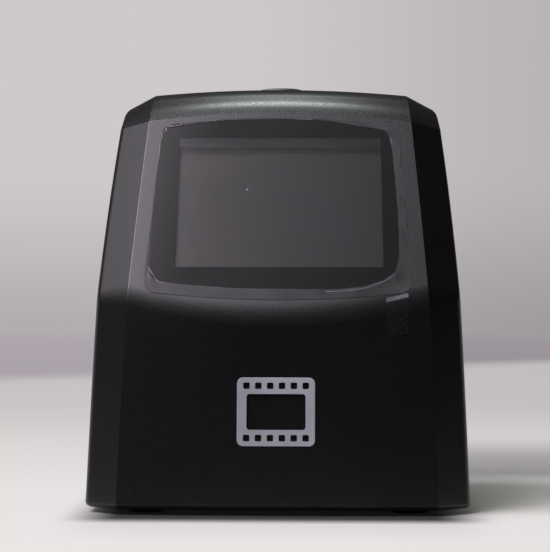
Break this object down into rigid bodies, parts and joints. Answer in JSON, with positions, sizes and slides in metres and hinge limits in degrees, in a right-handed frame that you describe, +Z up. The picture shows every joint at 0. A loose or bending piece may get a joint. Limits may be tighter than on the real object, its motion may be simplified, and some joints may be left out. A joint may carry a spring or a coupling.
{
  "type": "film and slide scanner",
  "caption": "Desktop film and slide scanner with a tilted colour screen, push buttons on top and a film tray that slides through its sides.",
  "frame": {"origin": "middle of the footprint, on the surface the feet stand on", "axes": "+Z up, the screen and the front face -Y, the ports face +Y, +X is to the viewer's right"},
  "size_m": [0.0906, 0.089, 0.1054],
  "materials": {
    "black_grain": "fine spark texture",
    "black_base": "satin",
    "foot_rubber": "matte",
    "zinc_steel": "zinc plated",
    "bright_steel": "nickel plated",
    "screen_pane": "polished",
    "black_ink": "printed mask",
    "clear_film": "clear film",
    "gasket_foam": "closed-cell foam",
    "display_glass": "polarised",
    "white_plastic": "satin",
    "flex_amber": "polyimide film",
    "badge_ink": "satin grey",
    "board_green": "solder mask",
    "black_inner": "matte",
    "lamp_clear": "clear",
    "chip_black": "epoxy",
    "ribbon_grey": "flat flexible cable",
    "white_board": "white solder mask",
    "lamp_white": "moulded",
    "optic_glass": "coated",
    "tray_black": "satin",
    "tray_pin": "satin",
    "button_gloss": "polished, bright rim",
    "button_black": "satin"
  },
  "bodies": {
    "housing": {"main_housing": "black_grain", "rear_cover": "black_grain", "base_plate": "black_base", "rubber_feet": "foot_rubber", "base_screws": "zinc_steel", "screen_lens": "screen_pane", "lens_mask": "black_ink", "screen_film": "clear_film", "screen_gasket": "gasket_foam", "lcd_glass": "display_glass", "lcd_backlight": "white_plastic", "lcd_bracket": "zinc_steel", "lcd_screws": "bright_steel", "lcd_flex": "flex_amber", "front_badge": "badge_ink", "button_board": "board_green", "button_board_screws": "bright_steel", "button_switches": "black_inner", "status_led": "lamp_clear", "main_board": "board_green", "main_board_parts": "chip_black", "main_board_screws": "bright_steel", "io_board": "board_green", "io_board_screws": "bright_steel", "usb_socket": "bright_steel", "av_jack": "black_inner", "card_socket": "bright_steel", "sensor_cable": "ribbon_grey", "button_cable": "ribbon_grey", "io_cable": "ribbon_grey", "led_cable": "ribbon_grey", "chassis": "black_inner", "chassis_screws": "bright_steel", "film_gate": "black_inner", "gate_springs": "bright_steel", "light_glass": "lamp_clear", "diffuser": "white_plastic", "light_box": "white_plastic", "led_board": "white_board", "backlight_leds": "lamp_white", "light_shroud": "black_inner", "lens_barrel": "black_inner", "lens_elements": "optic_glass", "lens_holder": "black_inner", "ir_filter": "optic_glass", "image_sensor": "chip_black", "sensor_board": "board_green", "sensor_screws": "bright_steel"},
    "film_tray": {"tray_base": "tray_black", "tray_cover": "tray_black", "tray_pins": "tray_pin"},
    "capture_key": {"capture_button": "button_gloss"},
    "home_key": {"home_button": "button_black"},
    "flip_key": {"flip_button": "button_black"},
    "minus_key": {"minus_button": "button_black"},
    "plus_key": {"plus_button": "button_black"},
    "power_key": {"power_button": "button_black"}
  },
  "joints": [
    {"name": "film_tray_slide", "type": "slide", "parent": "housing", "child": "film_tray", "axis": [1, 0, 0], "range_m": [0, 0.088]},
    {"name": "capture_press", "type": "slide", "parent": "housing", "child": "capture_key", "axis": [0, 0.0175, -0.9998], "range_m": [0, 0.0004], "stiffness_N_per_m": 3200},
    {"name": "home_press", "type": "slide", "parent": "housing", "child": "home_key", "axis": [0, 0.0175, -0.9998], "range_m": [0, 0.0004], "stiffness_N_per_m": 3200},
    {"name": "flip_press", "type": "slide", "parent": "housing", "child": "flip_key", "axis": [0, 0.0175, -0.9998], "range_m": [0, 0.0004], "stiffness_N_per_m": 3200},
    {"name": "minus_press", "type": "slide", "parent": "housing", "child": "minus_key", "axis": [0, 0.0175, -0.9998], "range_m": [0, 0.0004], "stiffness_N_per_m": 3200},
    {"name": "plus_press", "type": "slide", "parent": "housing", "child": "plus_key", "axis": [0, 0.0175, -0.9998], "range_m": [0, 0.0004], "stiffness_N_per_m": 3200},
    {"name": "power_press", "type": "slide", "parent": "housing", "child": "power_key", "axis": [0, 0.0175, -0.9998], "range_m": [0, 0.0004], "stiffness_N_per_m": 3200}
  ]
}
